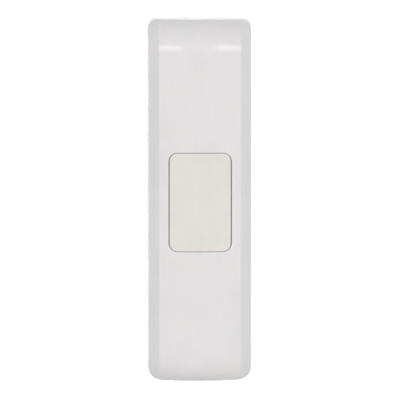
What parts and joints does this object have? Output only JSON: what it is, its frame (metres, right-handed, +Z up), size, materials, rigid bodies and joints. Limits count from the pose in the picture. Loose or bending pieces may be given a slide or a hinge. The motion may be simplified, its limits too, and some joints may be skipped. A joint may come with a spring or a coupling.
{
  "type": "pull cord switch",
  "caption": "Slim wall-mounted switch with a flush push plate in its crowned front, a pull cord outlet in its lower end, and snap-action switches behind.",
  "frame": {"origin": "centre of the back plate's rear face, in the plane of the wall", "axes": "+Z up along the case, +Y into the wall, +X to the right for someone facing the front"},
  "size_m": [0.0292, 0.016, 0.102],
  "materials": {
    "case_white": "smooth moulded gloss",
    "plate_cream": "smooth moulded gloss, slightly warmer white",
    "base_plastic": "fine moulded texture",
    "natural_nylon": "semi-matt moulded",
    "switch_black": "moulded black",
    "plunger_red": "moulded red",
    "board_green": "solder mask over glass fibre",
    "terminal_grey": "moulded grey",
    "brass_plated": "nickel-plated brass",
    "zinc_steel": "bright zinc plate",
    "spring_steel": "drawn wire",
    "contact_bronze": "rolled phosphor bronze"
  },
  "bodies": {
    "case": {"back_plate": "base_plastic", "front_cover": "case_white", "circuit_board": "board_green", "guide_frame": "natural_nylon", "cord_bush": "case_white", "terminal_block": "terminal_grey", "terminal_clamps": "brass_plated", "terminal_screws": "zinc_steel", "board_screws": "zinc_steel", "cover_screws": "zinc_steel", "plate_spring_upper": "spring_steel", "plate_spring_lower": "spring_steel", "pull_spring": "spring_steel", "plate_switch_case": "switch_black", "plate_switch_cover": "switch_black", "plate_switch_terminals": "contact_bronze", "cord_switch_case": "switch_black", "cord_switch_cover": "switch_black", "cord_switch_terminals": "contact_bronze"},
    "plate": {"press_plate": "plate_cream"},
    "plate_plunger": {"plate_switch_plunger": "plunger_red"},
    "plate_blade": {"plate_switch_blade": "contact_bronze"},
    "pull": {"pull_slide": "natural_nylon"},
    "cord_plunger": {"cord_switch_plunger": "plunger_red"},
    "cord_blade": {"cord_switch_blade": "contact_bronze"}
  },
  "joints": [
    {"name": "plate_press", "type": "slide", "parent": "case", "child": "plate", "axis": [0, 1, 0], "range_m": [0, 0.0008], "stiffness_N_per_m": 1200, "springref_m": -0.001, "deforming": ["plate_spring_upper", "plate_spring_lower"]},
    {"name": "plate_plunger_slide", "type": "slide", "parent": "case", "child": "plate_plunger", "axis": [0, 1, 0], "range_m": [0, 0.00082]},
    {"name": "plate_blade_hinge", "type": "hinge", "parent": "case", "child": "plate_blade", "pos_m": [0, -0.00843, -0.0046], "axis": [-1, 0, 0], "range_deg": [0, 8.2]},
    {"name": "cord_pull", "type": "slide", "parent": "case", "child": "pull", "axis": [0, 0, -1], "range_m": [0, 0.004], "stiffness_N_per_m": 500, "springref_m": -0.004, "deforming": ["pull_spring"]},
    {"name": "cord_plunger_slide", "type": "slide", "parent": "case", "child": "cord_plunger", "axis": [0, 1, 0], "range_m": [0, 0.00082]},
    {"name": "cord_blade_hinge", "type": "hinge", "parent": "case", "child": "cord_blade", "pos_m": [0, -0.00843, -0.0272], "axis": [-1, 0, 0], "range_deg": [0, 8.2]}
  ],
  "couplings": [
    {"joint": "plate_plunger_slide", "follows": "plate_press", "ratio": 1},
    {"joint": "plate_blade_hinge", "follows": "plate_press", "rad_per_m": 178},
    {"joint": "cord_plunger_slide", "follows": "cord_pull", "ratio": 0.2},
    {"joint": "cord_blade_hinge", "follows": "cord_pull", "rad_per_m": 35.6}
  ]
}
